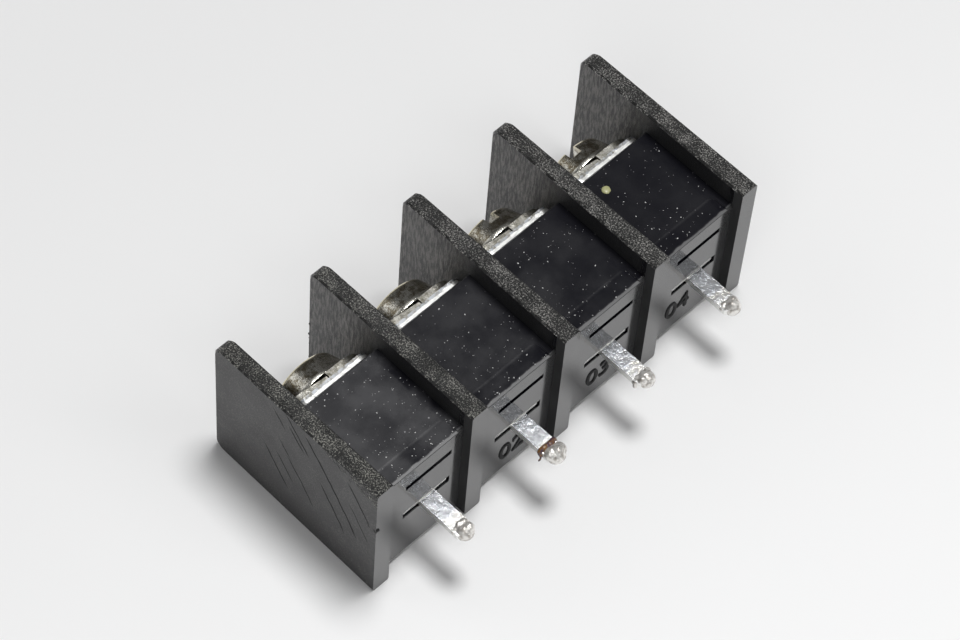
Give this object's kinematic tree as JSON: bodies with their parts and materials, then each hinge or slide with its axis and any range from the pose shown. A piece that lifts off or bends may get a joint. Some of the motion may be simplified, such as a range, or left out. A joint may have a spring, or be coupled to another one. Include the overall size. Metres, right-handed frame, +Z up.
{
  "type": "screw terminal block",
  "caption": "Circuit-board barrier terminal block: slotted screws with captive clamp washers between black plastic fins, and flat solder pins behind.",
  "frame": {"origin": "middle of the overall box, on the surface the block lies on", "axes": "+X along the strip, +Y towards the screw heads, -Y towards the board pins, +Z up across the fins"},
  "size_m": [0.0396, 0.0212, 0.014],
  "materials": {
    "housing": "black moulded plastic, satin",
    "terminal": "tin plated",
    "washer": "nickel plated",
    "screw": "nickel plated, mottled",
    "solder": "bright soft solder"
  },
  "bodies": {
    "housing": {"housing": "housing", "terminal_1": "terminal", "terminal_2": "terminal", "terminal_3": "terminal", "terminal_4": "terminal", "solder_1": "solder", "solder_2": "solder", "solder_3": "solder", "solder_4": "solder"},
    "washer_1": {"clamp_washer_1": "washer"},
    "screw_1": {"screw_1": "screw"},
    "washer_2": {"clamp_washer_2": "washer"},
    "screw_2": {"screw_2": "screw"},
    "washer_3": {"clamp_washer_3": "washer"},
    "screw_3": {"screw_3": "screw"},
    "washer_4": {"clamp_washer_4": "washer"},
    "screw_4": {"screw_4": "screw"}
  },
  "joints": [
    {"name": "washer_lift_1", "type": "slide", "parent": "housing", "child": "washer_1", "axis": [0, 1, 0], "range_m": [0, 0.003]},
    {"name": "screw_turn_1", "type": "hinge", "parent": "washer_1", "child": "screw_1", "pos_m": [-0.01425, 0.005, 0.007], "axis": [0, 1, 0], "range_deg": [0, 1800]},
    {"name": "washer_lift_2", "type": "slide", "parent": "housing", "child": "washer_2", "axis": [0, 1, 0], "range_m": [0, 0.003]},
    {"name": "screw_turn_2", "type": "hinge", "parent": "washer_2", "child": "screw_2", "pos_m": [-0.00475, 0.005, 0.007], "axis": [0, 1, 0], "range_deg": [0, 1800]},
    {"name": "washer_lift_3", "type": "slide", "parent": "housing", "child": "washer_3", "axis": [0, 1, 0], "range_m": [0, 0.003]},
    {"name": "screw_turn_3", "type": "hinge", "parent": "washer_3", "child": "screw_3", "pos_m": [0.00475, 0.005, 0.007], "axis": [0, 1, 0], "range_deg": [0, 1800]},
    {"name": "washer_lift_4", "type": "slide", "parent": "housing", "child": "washer_4", "axis": [0, 1, 0], "range_m": [0, 0.003]},
    {"name": "screw_turn_4", "type": "hinge", "parent": "washer_4", "child": "screw_4", "pos_m": [0.01425, 0.005, 0.007], "axis": [0, 1, 0], "range_deg": [0, 1800]}
  ],
  "couplings": [
    {"joint": "screw_turn_1", "follows": "washer_lift_1", "rad_per_m": 10472},
    {"joint": "screw_turn_2", "follows": "washer_lift_2", "rad_per_m": 10472},
    {"joint": "screw_turn_3", "follows": "washer_lift_3", "rad_per_m": 10472},
    {"joint": "screw_turn_4", "follows": "washer_lift_4", "rad_per_m": 10472}
  ]
}
